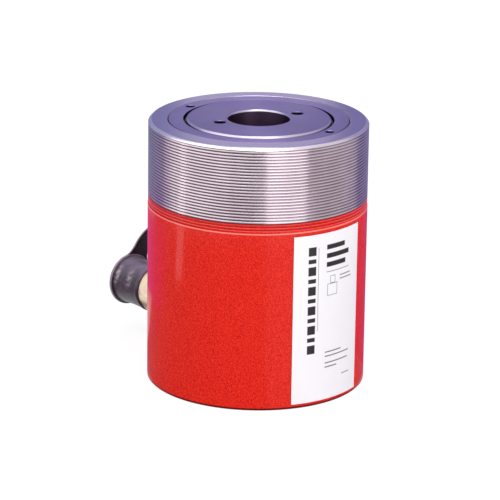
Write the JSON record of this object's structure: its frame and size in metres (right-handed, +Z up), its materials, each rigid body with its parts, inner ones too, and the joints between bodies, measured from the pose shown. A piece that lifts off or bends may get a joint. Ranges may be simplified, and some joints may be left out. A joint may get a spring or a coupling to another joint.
{
  "type": "hollow plunger cylinder",
  "caption": "Short single-acting hollow plunger hydraulic cylinder with a collar thread, spring return, flush spanner-hole head and a side half coupler under a strapped dust cap.",
  "frame": {"origin": "middle of the whole box at floor level, so the base face is on z = 0; the cylinder's upright axis stands at x = 0, y = -0.0329", "axes": "+Z up along the plunger's travel, +Y along the coupler and dust cap, -Y out of the rating label's middle"},
  "size_m": [0.1524, 0.2194, 0.1865],
  "materials": {
    "red_paint": "glossy red enamel with a fine mottle over steel; the collar thread above it is left bare",
    "bare_steel": "turned bare steel",
    "head_steel": "fine-ground blue-grey steel face",
    "plated_steel": "hard-plated and polished steel",
    "spring_steel": "dark oil-tempered steel wire",
    "bronze": "dull bearing bronze",
    "coupler_brass": "pale machined brass",
    "black_rubber": "moulded black rubber with a soft sheen",
    "seal_rubber": "smooth seal rubber",
    "seal_plastic": "hard amber backup ring plastic",
    "label_film": null
  },
  "bodies": {
    "cylinder": {"cylinder_body": "red_paint", "center_tube": "bare_steel", "base_o_ring": "seal_rubber", "spring_retainer": "bare_steel", "retainer_snap_ring": "spring_steel", "return_spring": "spring_steel", "gland_nut": "bare_steel", "gland_bearing": "bronze", "rod_wiper": "seal_rubber", "coupler_body": "coupler_brass", "coupler_spring_seat": "coupler_brass", "coupler_spring": "spring_steel", "coupler_o_ring": "seal_rubber", "cap_strap": "black_rubber", "rating_label": "label_film"},
    "plunger_assembly": {"plunger": "plated_steel", "head_insert": "head_steel", "piston_seal": "seal_rubber", "piston_backup_ring": "seal_plastic", "piston_bearing": "bronze", "inner_seal": "seal_rubber", "inner_backup_ring": "seal_plastic", "inner_bearing": "bronze"},
    "dust_cap": {"dust_cap": "black_rubber"},
    "coupler_poppet": {"coupler_poppet": "bare_steel"}
  },
  "joints": [
    {"name": "plunger_slide", "type": "slide", "parent": "cylinder", "child": "plunger_assembly", "axis": [0, 0, 1], "range_m": [0, 0.0762], "stiffness_N_per_m": 17400, "springref_m": -0.02, "deforming": ["return_spring"]},
    {"name": "cap_pull", "type": "slide", "parent": "cylinder", "child": "dust_cap", "axis": [0, 1, 0], "range_m": [0, 0.03], "deforming": ["cap_strap"]},
    {"name": "poppet_press", "type": "slide", "parent": "cylinder", "child": "coupler_poppet", "axis": [0, 1, 0], "range_m": [-0.004, 0], "stiffness_N_per_m": 500, "springref_m": 0.01, "deforming": ["coupler_spring"]}
  ]
}
